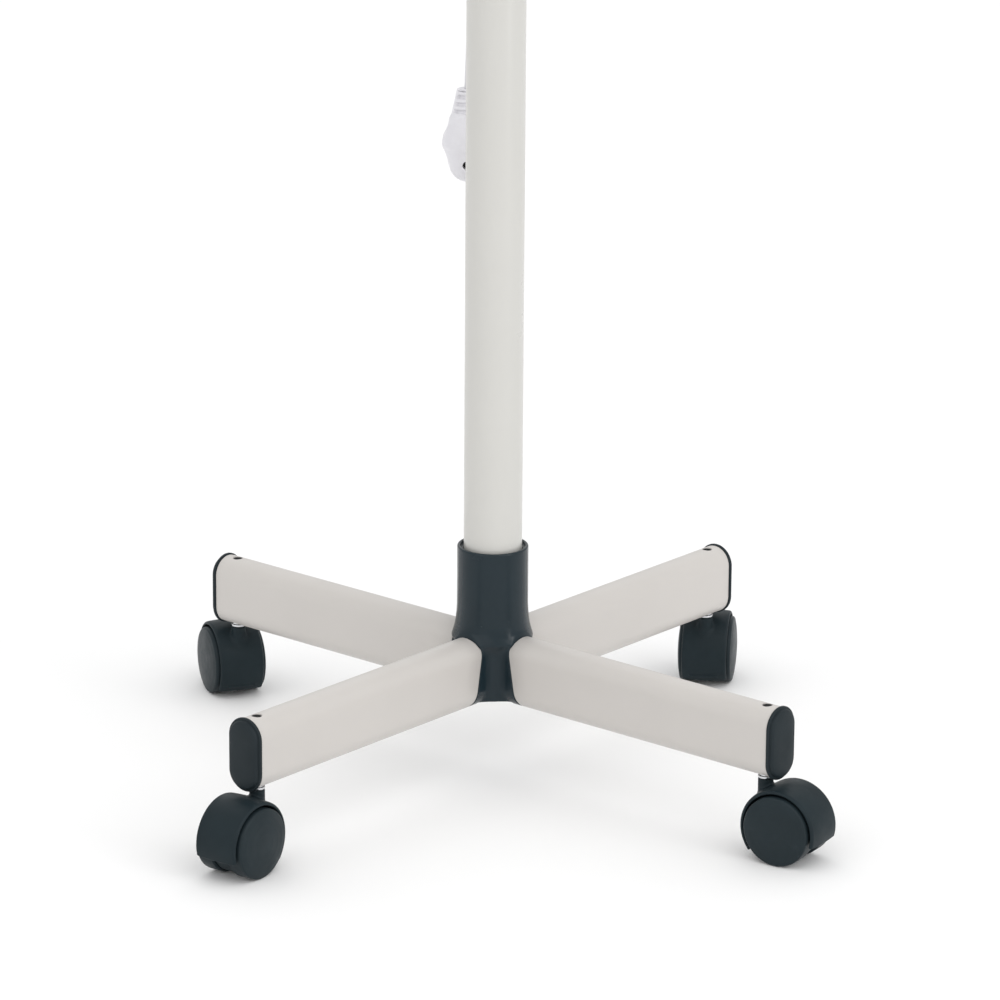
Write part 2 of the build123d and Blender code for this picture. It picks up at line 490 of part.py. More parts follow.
# angled two-pin plug: egg-shaped body, cable shoulder and taper upwards, pins to the back
hull2d = make_hull((Sketch() + Pos(PLUG_X, 429.5) * Circle(17.5) + Pos(PLUG_X, 418.6) * Circle(13.6)).edges())
PLUG_Y0, PLUG_Y1 = 48.0, 80.0
pb = extrude(Plane.XZ.offset(-PLUG_Y1) * hull2d, PLUG_Y1 - PLUG_Y0)
pb = soft(pb, pb.faces().sort_by(Axis.Y)[0].edges(), 9.0)
sh = loft([Plane(origin=(PLUG_X, CORD_Y, 436), z_dir=(0, 0, 1)) * Ellipse(16.8, 13.0),
           Plane(origin=(PLUG_X, CORD_Y, 451), z_dir=(0, 0, 1)) * Ellipse(12.2, 9.0)])
relief = loft([Plane(origin=(PLUG_X, CORD_Y, 451), z_dir=(0, 0, 1)) * Ellipse(11.2, 8.2),
               Plane(origin=(PLUG_X, CORD_Y, PLUG_TOP), z_dir=(0, 0, 1)) * Ellipse(7.4, 6.2)])
pb = pb + sh + relief
pb = pb - cyl_y(3.2, PLUG_Y0 - 2, PLUG_Y0 + 10, PLUG_X, 420.0)
save("plug_body", pb)
pins = [cyl_y(2.4, PLUG_Y1, PLUG_Y1 + 19, PLUG_X + s * 9.5, 427.0) for s in (1, -1)]
save("plug_pins", group(pins))

print("nodes", len(OUT))
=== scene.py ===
import math

import bpy
import numpy as np
from mathutils import Matrix, Vector
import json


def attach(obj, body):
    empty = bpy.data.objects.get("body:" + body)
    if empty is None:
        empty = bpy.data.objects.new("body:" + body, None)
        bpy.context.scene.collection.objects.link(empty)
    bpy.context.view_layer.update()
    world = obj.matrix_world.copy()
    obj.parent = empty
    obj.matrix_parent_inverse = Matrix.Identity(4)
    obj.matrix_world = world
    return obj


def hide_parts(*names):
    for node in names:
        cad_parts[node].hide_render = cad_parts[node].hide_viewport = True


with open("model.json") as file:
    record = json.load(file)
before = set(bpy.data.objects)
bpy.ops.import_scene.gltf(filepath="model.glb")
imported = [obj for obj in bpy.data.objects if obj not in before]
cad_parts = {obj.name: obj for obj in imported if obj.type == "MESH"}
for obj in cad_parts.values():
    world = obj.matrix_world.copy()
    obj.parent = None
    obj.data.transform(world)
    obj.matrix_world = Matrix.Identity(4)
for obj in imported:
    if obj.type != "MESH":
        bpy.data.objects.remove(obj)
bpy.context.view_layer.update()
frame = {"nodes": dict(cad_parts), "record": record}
NODES = frame["nodes"]
SC = bpy.context.scene
MM = 0.001

# ------------------------------------------------------------------ dimensions shared with the CAD model (mm)
LEG_AZ = {"front_right": -45.0, "front_left": -135.0, "back_left": 135.0, "back_right": 45.0}
CASTOR_AZ = {"front_right": -37.0, "front_left": -130.4, "back_left": 105.5, "back_right": 77.0}
for j_ in frame["record"]["behaviour"]["joints"]:
    # yaw of each castor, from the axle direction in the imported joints
    if j_["name"].startswith("wheel_") and j_["name"].endswith("_left") and j_["name"][6:-5] in CASTOR_AZ:
        CASTOR_AZ[j_["name"][6:-5]] = math.degrees(math.atan2(-j_["axis"][0], j_["axis"][1]))
LEG_TOP, LEG_H, LEG_W = 105.0, 49.0, 26.0
LEG_Z, LEG_BOT, LEG_END = 80.5, 56.0, 248.5
STEM_R, TRAIL, WHEEL_R = 238.8, 17.6, 24.0
HUB_TOP, HUB_BOT, CORE_BOT = 165.7, 56.5, 60.5
JAR_Y, ARM_Z, ARM_ELEV, ARM_LEN = -100.0, 1162.0, 35.0, 285.0
CORD_X, CORD_Y, CORD_D = -11.0, 63.0, 7.0
HANK_Z, HANK_H = 673.0, 156.0
PLUG_X, PLUG_TOP = -12.8, 471.0


# ------------------------------------------------------------------ camera: measured pose of the photographed view
def make_camera():
    yaw, pitch, roll = math.radians(4.76 + 0.0759), math.radians(17.2438), math.radians(0.4066)
    fwd = Vector((math.sin(yaw) * math.cos(pitch), math.cos(yaw) * math.cos(pitch), -math.sin(pitch)))
    right = fwd.cross(Vector((0, 0, 1))).normalized()
    up = right.cross(fwd)
    r2 = right * math.cos(roll) + up * math.sin(roll)
    u2 = -right * math.sin(roll) + up * math.cos(roll)
    cam = bpy.data.cameras.new("camera")
    ob = bpy.data.objects.new("camera", cam)
    SC.collection.objects.link(ob)
    m = Matrix((
        (r2.x, u2.x, -fwd.x, -0.29310), (r2.y, u2.y, -fwd.y, -3.51987), (r2.z, u2.z, -fwd.z, 1.29366), (0, 0, 0, 1)))
    ob.matrix_world = m
    cam.sensor_width = 36.0
    cam.lens = 194.85
    cam.clip_start, cam.clip_end = 0.1, 40.0
    SC.camera = ob


make_camera()

# ------------------------------------------------------------------ mesh helpers


def mesh_object(name, verts, faces, smooth=True):
    me = bpy.data.meshes.new(name)
    me.from_pydata([tuple(v) for v in verts], [], [tuple(int(i) for i in f) for f in faces])
    me.validate()
    me.polygons.foreach_set("use_smooth", [smooth] * len(me.polygons))
    me.update()
    ob = bpy.data.objects.new(name, me)
    SC.collection.objects.link(ob)
    return ob


def round_poly(points, default=0.6, steps=5, closed=False):
    """Polyline with rounded corners; a point is (a, b) or (a, b, radius)."""
    pts = [(p[0], p[1], p[2] if len(p) > 2 else default) for p in points]
    out = []
    n = len(pts)
    for i, (x, y, r) in enumerate(pts):
        if not closed and i in (0, n - 1):
            out.append((x, y))
            continue
        p = np.array((x, y), float)
        a = np.array(pts[i - 1][:2], float) - p
        b = np.array(pts[(i + 1) % n][:2], float) - p
        la, lb = np.linalg.norm(a), np.linalg.norm(b)
        if r <= 0 or la < 1e-9 or lb < 1e-9:
            out.append((x, y))
            continue
        a, b = a / la, b / lb
        c = float(np.clip(a @ b, -1, 1))
        half = math.acos(c) / 2
        if half > math.pi / 2 - 0.02:
            out.append((x, y))
            continue
        t = min(r / math.tan(half), 0.48 * la, 0.48 * lb)
        rr = t * math.tan(half)
        mid = (a + b) / np.linalg.norm(a + b)
        cen = p + mid * (rr / math.sin(half))
        v0, v1 = p + a * t - cen, p + b * t - cen
        a0 = math.atan2(v0[1], v0[0])
        da = math.atan2(v1[1], v1[0]) - a0
        da = (da + math.pi) % (2 * math.pi) - math.pi
        for k in range(steps + 1):
            ang = a0 + da * k / steps
            out.append((cen[0] + rr * math.cos(ang), cen[1] + rr * math.sin(ang)))
    return out


def lathe(name, profile, segs=96, matrix=None, default=0.6, closed=False, steps=5):
    """Solid of revolution about local Z from (radius, z) in mm. An open profile starts and ends on the axis, a closed one is a ring."""
    pr = round_poly(profile, default, steps, closed)
    clean = [pr[0]]
    for q in pr[1:]:
        if math.hypot(q[0] - clean[-1][0], q[1] - clean[-1][1]) > 1e-4:
            clean.append(q)
    pr = clean
    verts, rows = [], []
    for r, z in pr:
        if r < 1e-6:
            rows.append([len(verts)])
            verts.append((0, 0, z))
        else:
            rows.append(list(range(len(verts), len(verts) + segs)))
            for k in range(segs):
                a = 2 * math.pi * k / segs
                verts.append((r * math.cos(a), r * math.sin(a), z))
    faces = []
    m = len(rows)
    for i in range(m if closed else m - 1):
        A, B = rows[i], rows[(i + 1) % m]
        for k in range(segs):
            k2 = (k + 1) % segs
            if len(A) == 1 and len(B) == 1:
                continue
            if len(A) == 1:
                faces.append((A[0], B[k2], B[k]))
            elif len(B) == 1:
                faces.append((A[k], A[k2], B[0]))
            else:
                faces.append((A[k], A[k2], B[k2], B[k]))
    ob = place(mesh_object(name, verts, faces), matrix)
    fix_normals(ob)
    return ob


def place(ob, matrix=None):
    """Mesh built in mm becomes metres in the row frame."""
    m = Matrix.Scale(MM, 4)
    if matrix is not None:
        t = matrix.copy()
        t.translation *= MM
        m = t @ m
    ob.data.transform(m)
    ob.data.update()
    return ob


def fix_normals(ob):
    import bmesh

    bm = bmesh.new()
    bm.from_mesh(ob.data)
    bmesh.ops.remove_doubles(bm, verts=bm.verts, dist=1e-8)
    bmesh.ops.recalc_face_normals(bm, faces=bm.faces)
    bm.to_mesh(ob.data)
    bm.free()
    ob.data.update()


def stadium_loop(h, w, n=24):
    """Closed loop (t, z) of a flat oval h tall and w wide, centred on the origin."""
    r, s = w / 2, (h - w) / 2
    out = []
    for k in range(n + 1):
        a = math.pi * k / n
        out.append((r * math.cos(a), s + r * math.sin(a)))
    for j in range(1, 6):
        out.append((-r, s - 2 * s * j / 6))
    for k in range(n + 1):
        a = math.pi + math.pi * k / n
        out.append((r * math.cos(a), -s + r * math.sin(a)))
    for j in range(1, 6):
        out.append((r, -s + 2 * s * j / 6))
    return out


def loft(name, loops, matrix=None, cap=True, close_ring=False):
    """loops: list of equally long lists of 3-D points."""
    n = len(loops[0])
    verts = [p for lp in loops for p in lp]
    faces = []
    m = len(loops)
    for i in range(m if close_ring else m - 1):
        a, b = i * n, ((i + 1) % m) * n
        for k in range(n):
            k2 = (k + 1) % n
            faces.append((a + k, a + k2, b + k2, b + k))
    if cap and not close_ring:
        faces.append(tuple(range(n - 1, -1, -1)))
        faces.append(tuple(range((m - 1) * n, m * n)))
    ob = place(mesh_object(name, verts, faces), matrix)
    fix_normals(ob)
    return ob


# signed distances, in mm, negative inside


def smin(a, b, k):
    h = np.maximum(k - np.abs(a - b), 0.0) / k
    return np.minimum(a, b) - h * h * k * 0.25


def smax(a, b, k):
    return -smin(-a, -b, k)


def cap2(d, e):
    return np.minimum(np.maximum(d, e), 0) + np.hypot(np.maximum(d, 0), np.maximum(e, 0))


def s_cyl(a, b, h, r, h0, h1, rr=0.0):
    return cap2(np.hypot(a, b) - (r - rr), np.abs(h - (h0 + h1) / 2) - ((h1 - h0) / 2 - rr)) - rr


def s_box(x, y, z, hx, hy, hz, rr=0.0):
    qx, qy, qz = np.abs(x) - (hx - rr), np.abs(y) - (hy - rr), np.abs(z) - (hz - rr)
    out = np.sqrt(np.maximum(qx, 0) ** 2 + np.maximum(qy, 0) ** 2 + np.maximum(qz, 0) ** 2)
    return out + np.minimum(np.maximum(qx, np.maximum(qy, qz)), 0) - rr


def nets(name, f, lo, hi, h, matrix=None, sharpen=3):
    """Closed quad mesh of f = 0 on a grid of pitch h, with every vertex moved onto the surface."""
    ax = [np.arange(lo[i] - 1.5 * h, hi[i] + 1.5 * h, h) for i in range(3)]
    X, Y, Z = np.meshgrid(*ax, indexing="ij", sparse=True)
    F = f(X + 0 * Y + 0 * Z, Y + 0 * X + 0 * Z, Z + 0 * X + 0 * Y).astype(np.float64)
    S = F < 0
    c = [S[i:S.shape[0] - 1 + i, j:S.shape[1] - 1 + j, k:S.shape[2] - 1 + k] for i in (0, 1) for j in (0, 1) for k in (0, 1)]
    tot = sum(x.astype(np.int8) for x in c)
    act = (tot > 0) & (tot < 8)
    idx = np.argwhere(act)
    ids = -np.ones(act.shape, np.int64)
    ids[act] = np.arange(len(idx))
    P = np.zeros((len(idx), 3))
    N = np.zeros(len(idx))
    corners = [(i, j, k) for i in (0, 1) for j in (0, 1) for k in (0, 1)]
    for a in corners:
        for axis in range(3):
            if a[axis]:
                continue
            b = list(a)
            b[axis] = 1
            fa = F[idx[:, 0] + a[0], idx[:, 1] + a[1], idx[:, 2] + a[2]]
            fb = F[idx[:, 0] + b[0], idx[:, 1] + b[1], idx[:, 2] + b[2]]
            m = (fa < 0) != (fb < 0)
            t = np.where(m, fa / np.where(m, fa - fb, 1), 0)
            q = np.array(a, float)[None, :].repeat(len(idx), 0)
            q[:, axis] += t
            P[m] += q[m]
            N[m] += 1
    P = P / N[:, None] + idx
    P = P * h + np.array([ax[0][0], ax[1][0], ax[2][0]])
    e = h * 0.05
    for _ in range(sharpen):
        x, y, z = P[:, 0], P[:, 1], P[:, 2]
        v = f(x, y, z)
        g = np.stack([f(x + e, y, z) - f(x - e, y, z), f(x, y + e, z) - f(x, y - e, z), f(x, y, z + e) - f(x, y, z - e)], 1) / (2 * e)
        g2 = np.maximum((g * g).sum(1), 0.05)
        step = np.clip(v / g2, -h, h)
        P -= g * step[:, None]
    quads = []
    for axis in range(3):
        sl0 = [slice(None)] * 3
        sl1 = [slice(None)] * 3
        sl0[axis], sl1[axis] = slice(0, -1), slice(1, None)
        ch = S[tuple(sl0)] != S[tuple(sl1)]
        E = np.argwhere(ch)
        o1, o2 = (axis + 1) % 3, (axis + 2) % 3
        E = E[(E[:, o1] > 0) & (E[:, o2] > 0) & (E[:, o1] < S.shape[o1] - 1) & (E[:, o2] < S.shape[o2] - 1)]
        ins = S[E[:, 0], E[:, 1], E[:, 2]]
        q = []
        for d1, d2 in ((-1, -1), (0, -1), (0, 0), (-1, 0)):
            c3 = E.copy()
            c3[:, o1] += d1
            c3[:, o2] += d2
            q.append(ids[c3[:, 0], c3[:, 1], c3[:, 2]])
        q = np.stack(q, 1)
        q[~ins] = q[~ins][:, ::-1]
        quads.append(q)
    Q = np.concatenate(quads)
    me = bpy.data.meshes.new(name)
    me.vertices.add(len(P))
    me.vertices.foreach_set("co", P.astype(np.float32).ravel())
    me.loops.add(Q.size)
    me.loops.foreach_set("vertex_index", Q.astype(np.int32).ravel())
    me.polygons.add(len(Q))
    me.polygons.foreach_set("loop_start", np.arange(0, Q.size, 4, dtype=np.int32))
    me.polygons.foreach_set("use_smooth", np.ones(len(Q), bool))
    me.update(calc_edges=True)
    me.validate()
    ob = bpy.data.objects.new(name, me)
    SC.collection.objects.link(ob)
    return place(ob, matrix)


def rot_z(deg, x=0.0, y=0.0, z=0.0):
    return Matrix.Translation((x, y, z)) @ Matrix.Rotation(math.radians(deg), 4, "Z")


def join(name, obs):
    """Several closed meshes as one object."""
    import bmesh

    bm = bmesh.new()
    for o in obs:
        bm.from_mesh(o.data)
    me = bpy.data.meshes.new(name)
    bm.to_mesh(me)
    bm.free()
    for o in obs:
        bpy.data.objects.remove(o)
    ob = bpy.data.objects.new(name, me)
    SC.collection.objects.link(ob)
    me.polygons.foreach_set("use_smooth", [True] * len(me.polygons))
    return ob


def cut(ob, *tools):
    """Boolean difference, applied."""
    for t in tools:
        m = ob.modifiers.new("cut", "BOOLEAN")
        m.operation, m.solver, m.object = "DIFFERENCE", "EXACT", t
    dg = bpy.context.evaluated_depsgraph_get()
    me = bpy.data.meshes.new_from_object(ob.evaluated_get(dg))
    ob.modifiers.clear()
    ob.data = me
    for t in tools:
        bpy.data.objects.remove(t)
    return ob


def crisp(ob, angle=35.0):
    """Sharp shading where faces meet at more than angle."""
    import bmesh

    bm = bmesh.new()
    bm.from_mesh(ob.data)
    for e in bm.edges:
        e.smooth = not (len(e.link_faces) == 2 and e.calc_face_angle(0) > math.radians(angle))
    for f in bm.faces:
        f.smooth = True
    bm.to_mesh(ob.data)
    bm.free()
    return ob


# ------------------------------------------------------------------ materials


def node(nt, kind, **kw):
    n = nt.nodes.new(kind)
    for k, v in kw.items():
        if k in n.inputs:
            n.inputs[k].default_value = v
        else:
            setattr(n, k, v)
    return n


def material(name, color, rough=0.5, edge=0.0, metal=0.0, coat=0.0, coat_rough=0.1, spec=0.5, vary=0.05, vary_scale=30.0, rough_vary=0.08,
             grain=0.0, grain_scale=900.0, wave=0.0, wave_scale=60.0, wear=0.0, wear_color=None, transmission=0.0, ior=1.5, sheen=0.0,
             subsurface=0.0, brushed=None, emission=None, cavity_tint=0.0):
    """Procedural finish: colour drift, uneven gloss, fine surface grain, low waviness, rubbed edges and a grey-brown
    tint in concave spots.
    """
    m = bpy.data.materials.new(name)
    m.use_nodes = True
    nt = m.node_tree
    b = nt.nodes["Principled BSDF"]
    b.inputs["Metallic"].default_value = metal
    b.inputs["Specular IOR Level"].default_value = spec
    b.inputs["IOR"].default_value = ior
    b.inputs["Coat Weight"].default_value = coat
    b.inputs["Coat Roughness"].default_value = coat_rough
    b.inputs["Transmission Weight"].default_value = transmission
    b.inputs["Sheen Weight"].default_value = sheen
    if subsurface:
        b.inputs["Subsurface Weight"].default_value = subsurface
        b.inputs["Subsurface Radius"].default_value = (0.004, 0.004, 0.004)
        b.inputs["Subsurface Scale"].default_value = 1.0
    if emission:
        b.inputs["Emission Color"].default_value = (*emission[0], 1)
        b.inputs["Emission Strength"].default_value = emission[1]
    L = nt.links.new
    tc = node(nt, "ShaderNodeTexCoord")
    mp = node(nt, "ShaderNodeMapping")
    L(tc.outputs["Object"], mp.inputs["Vector"])
    if brushed:
        mp.inputs["Scale"].default_value = brushed
    n1 = node(nt, "ShaderNodeTexNoise", Scale=vary_scale, Detail=4.0, Roughness=0.55)
    L(tc.outputs["Object"], n1.inputs["Vector"])
    ramp = node(nt, "ShaderNodeMapRange")
    ramp.inputs["From Min"].default_value, ramp.inputs["From Max"].default_value = 0.3, 0.7
    ramp.inputs["To Min"].default_value, ramp.inputs["To Max"].default_value = 1.0 - vary, 1.0 + vary
    L(n1.outputs["Fac"], ramp.inputs["Value"])
    hsv = node(nt, "ShaderNodeHueSaturation")
    hsv.inputs["Color"].default_value = (*color, 1)
    L(ramp.outputs["Result"], hsv.inputs["Value"])
    last = hsv.outputs["Color"]
    if wear or cavity_tint:
        geo = node(nt, "ShaderNodeNewGeometry")
        n3 = node(nt, "ShaderNodeTexNoise", Scale=220.0, Detail=6.0, Roughness=0.7)
        L(tc.outputs["Object"], n3.inputs["Vector"])
    if wear:
        e1 = node(nt, "ShaderNodeMapRange")
        e1.inputs["From Min"].default_value, e1.inputs["From Max"].default_value = 0.515, 0.60
        L(geo.outputs["Pointiness"], e1.inputs["Value"])
        mul = node(nt, "ShaderNodeMath", operation="MULTIPLY")
        L(e1.outputs["Result"], mul.inputs[0])
        L(n3.outputs["Fac"], mul.inputs[1])
        sc = node(nt, "ShaderNodeMath", operation="MULTIPLY")
        sc.inputs[1].default_value = wear
        L(mul.outputs[0], sc.inputs[0])
        mix = node(nt, "ShaderNodeMix", data_type="RGBA")
        L(sc.outputs[0], mix.inputs["Factor"])
        L(last, mix.inputs["A"])
        mix.inputs["B"].default_value = (*(wear_color or [min(1, c * 1.6 + 0.05) for c in color]), 1)
        last = mix.outputs["Result"]
    # concave spots (low pointiness) are mixed towards grey-brown
    if cavity_tint:
        e2 = node(nt, "ShaderNodeMapRange")
        e2.inputs["From Min"].default_value, e2.inputs["From Max"].default_value = 0.49, 0.42
        L(geo.outputs["Pointiness"], e2.inputs["Value"])
        m2 = node(nt, "ShaderNodeMath", operation="MULTIPLY")
        L(e2.outputs["Result"], m2.inputs[0])
        m2.inputs[1].default_value = cavity_tint
        mixd = node(nt, "ShaderNodeMix", data_type="RGBA")
        L(m2.outputs[0], mixd.inputs["Factor"])
        L(last, mixd.inputs["A"])
        mixd.inputs["B"].default_value = (0.32, 0.30, 0.27, 1)
        last = mixd.outputs["Result"]
    L(last, b.inputs["Base Color"])
    n2 = node(nt, "ShaderNodeTexNoise", Scale=vary_scale * 2.3, Detail=5.0, Roughness=0.6)
    L(mp.outputs["Vector"], n2.inputs["Vector"])
    rr = node(nt, "ShaderNodeMapRange")
    rr.inputs["From Min"].default_value, rr.inputs["From Max"].default_value = 0.3, 0.7
    rr.inputs["To Min"].default_value, rr.inputs["To Max"].default_value = max(0.0, rough - rough_vary), min(1.0, rough + rough_vary)
    L(n2.outputs["Fac"], rr.inputs["Value"])
    L(rr.outputs["Result"], b.inputs["Roughness"])
    h = None
    if grain:
        g = node(nt, "ShaderNodeTexNoise", Scale=grain_scale, Detail=3.0, Roughness=0.6)
        L(mp.outputs["Vector"], g.inputs["Vector"])
        bp = node(nt, "ShaderNodeBump")
        bp.inputs["Strength"].default_value = grain
        bp.inputs["Distance"].default_value = 0.0002
        L(g.outputs["Fac"], bp.inputs["Height"])
        h = bp
    if wave:
        w = node(nt, "ShaderNodeTexNoise", Scale=wave_scale, Detail=1.0)
        L(tc.outputs["Object"], w.inputs["Vector"])
        bw = node(nt, "ShaderNodeBump")
        bw.inputs["Strength"].default_value = wave
        bw.inputs["Distance"].default_value = 0.001
        L(w.outputs["Fac"], bw.inputs["Height"])
        if h:
            L(h.outputs["Normal"], bw.inputs["Normal"])
        h = bw
    if edge:
        # edges that catch the light as a moulded or pressed edge does
        bv = node(nt, "ShaderNodeBevel")
        bv.samples = 4
        bv.inputs["Radius"].default_value = edge
        first = h
        while first and first.inputs["Normal"].is_linked:
            first = first.inputs["Normal"].links[0].from_node
        L(bv.outputs["Normal"], first.inputs["Normal"] if first else b.inputs["Normal"])
    if h:
        L(h.outputs["Normal"], b.inputs["Normal"])
    return m


M = {
    "stand": material("stand_paint", (0.560, 0.534, 0.508), rough=0.42, coat=0.12, coat_rough=0.25, vary=0.015, vary_scale=14, grain=0.12,
                      grain_scale=700, wave=0.04, wave_scale=90, wear=0.05, wear_color=(0.74, 0.73, 0.71), cavity_tint=0),
    "post": material("post_paint", (0.572, 0.564, 0.536), rough=0.34, coat=0.25, coat_rough=0.2, vary=0.015, vary_scale=9, grain=0.10,
                     grain_scale=700, wave=0.05, wave_scale=70,),
    "hub": material("hub_plastic", (0.0115, 0.0215, 0.0280), rough=0.21, spec=0.25, coat=0.0, coat_rough=0.12, vary=0.08, vary_scale=25, grain=0.05,
                    grain_scale=1100, wave=0.06, wave_scale=55, wear=0.04, wear_color=(0.06, 0.07, 0.08)),
    "slate": material("slate_plastic", (0.0150, 0.0220, 0.0260), rough=0.5, spec=0.16, vary=0.10, vary_scale=30, grain=0.35, grain_scale=1300,
                      wear=0.05, wear_color=(0.11, 0.12, 0.13), cavity_tint=0),
    "castor": material("castor_plastic", (0.0125, 0.0210, 0.0255), rough=0.46, spec=0.14, vary=0.12, vary_scale=35, grain=0.30, grain_scale=1500,
                       wear=0.10, wear_color=(0.06, 0.07, 0.08)),
    "wheel": material("castor_wheel", (0.0140, 0.0225, 0.0270), rough=0.42, spec=0.16, vary=0.12, vary_scale=35, grain=0.22, grain_scale=1500,
                      wear=0.08, wear_color=(0.06, 0.07, 0.08)),
    "chrome": material("chrome_plate", (0.64, 0.65, 0.67), rough=0.12, metal=1.0, vary=0.03, rough_vary=0.05, grain=0.05, grain_scale=600),
    "zinc": material("zinc_steel", (0.60, 0.61, 0.62), rough=0.34, metal=1.0, vary=0.08, vary_scale=120, rough_vary=0.12, grain=0.15, grain_scale=900),
    "shell": material("shell_plastic", (0.600, 0.590, 0.562), edge=0.0012, rough=0.36, coat=0.15, coat_rough=0.2, vary=0.012, vary_scale=10, grain=0.16,
                      grain_scale=1200, wave=0.03, wave_scale=40, wear=0, wear_color=(0.80, 0.79, 0.77), cavity_tint=0),
    "bush": material("bush_plastic", (0.62, 0.61, 0.57), edge=0.0005, rough=0.45, vary=0.04, grain=0.15),
    "glass": material("jar_glass", (0.97, 0.985, 0.98), rough=0.03, vary=0.01, rough_vary=0.02, transmission=1.0, ior=1.47, wave=0.10, wave_scale=35),
    "lampglass": material("lamp_glass", (0.93, 0.94, 1.0), rough=0.06, vary=0.01, rough_vary=0.03, transmission=0.9, ior=1.46),
    "lens": material("lens", (0.05, 0.55, 0.20), rough=0.16, vary=0.05, transmission=0.35, subsurface=0.2, grain=0.05),
    "seal": material("seal_rubber", (0.42, 0.43, 0.42), rough=0.6, vary=0.05, grain=0.25),
    "heater": material("heater_steel", (0.55, 0.53, 0.50), rough=0.28, metal=1.0, vary=0.12, vary_scale=90, rough_vary=0.12, grain=0.12),
    "board": material("board", (0.03, 0.17, 0.08), rough=0.45, vary=0.15, vary_scale=160, grain=0.2),
    "red": material("rocker_red", (0.42, 0.025, 0.02), edge=0.0008, rough=0.22, vary=0.05, coat=0.4, subsurface=0.1, grain=0.05),
    "green": material("rocker_green", (0.03, 0.25, 0.07), edge=0.0008, rough=0.22, vary=0.05, coat=0.4, subsurface=0.1, grain=0.05),
    "plug": material("plug_plastic", (0.730, 0.722, 0.755), rough=0.38, vary=0.02, vary_scale=40, subsurface=0.08, grain=0.12, grain_scale=1400, cavity_tint=0.08),
    "cord": material("cord_pvc", (0.650, 0.645, 0.665), rough=0.42, vary=0.02, vary_scale=60, grain=0.18, grain_scale=1200, wave=0.06, wave_scale=120),
    "pin": material("pin_metal", (0.70, 0.70, 0.68), rough=0.22, metal=1.0, vary=0.05, rough_vary=0.08, grain=0.1),
    "tie": material("tie_fabric", (0.03, 0.03, 0.033), rough=0.85, vary=0.2, vary_scale=500, sheen=0.3, grain=1.0, grain_scale=1800),
    "tray": material("tray_plastic", (0.016, 0.023, 0.028), edge=0.0008, rough=0.46, spec=0.18, vary=0.08, vary_scale=25, grain=0.3, grain_scale=1100, wear=0.05, cavity_tint=0),
    "fascia": material("fascia_plastic", (0.014, 0.020, 0.026), edge=0.0006, rough=0.22, spec=0.35, coat=0.1, coat_rough=0.12, vary=0.06, grain=0.05, wear=0.05),
    "print": material("print_dark", (0.03, 0.04, 0.05), rough=0.5, vary=0.05),
    "ink": material("print_ink", (0.72, 0.72, 0.70), rough=0.5, vary=0.03),
    # near-black fill: painted shade for the insides of the leg-top openings and of the plug's screw recess
    "painted_shade": material("painted_shade_black", (0.006, 0.006, 0.007), rough=0.7, vary=0.2),
}


def paint(ob, key):
    ob.data.materials.clear()
    ob.data.materials.append(M[key])
    return ob


def piece(ob, key, body, *nodes, slot=None):
    paint(ob, key)
    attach(ob, body)
    if nodes:
        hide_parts(*nodes)
    return ob


SLOT_TO_MAT = {
    "stand_paint": "stand", "post_paint": "post", "hub_plastic": "hub", "slate_plastic": "slate", "castor_plastic": "castor",
    "chrome_plate": "chrome", "zinc_steel": "zinc", "shell_plastic": "shell", "tray_plastic": "tray", "fascia_plastic": "fascia",
    "bush_plastic": "bush", "jar_glass": "glass", "lamp_glass": "lampglass", "lens": "lens", "seal_rubber": "seal",
    "heater_steel": "heater", "board": "board", "rocker_red": "red", "rocker_green": "green", "plug_plastic": "plug",
    "cord_pvc": "cord", "pin_metal": "pin", "tie_fabric": "tie"}
for sub in frame["record"]["subparts"]:
    ob = NODES[sub["node"]]
    ob.data.materials.clear()
    ob.data.materials.append(M["slate" if sub["node"] == "castor_sockets" else SLOT_TO_MAT[sub["material_slot"]]])


# ------------------------------------------------------------------ mains cord: one spline, route points as in the CAD file
Z1, Z0 = HANK_Z + HANK_H / 2, HANK_Z - HANK_H / 2


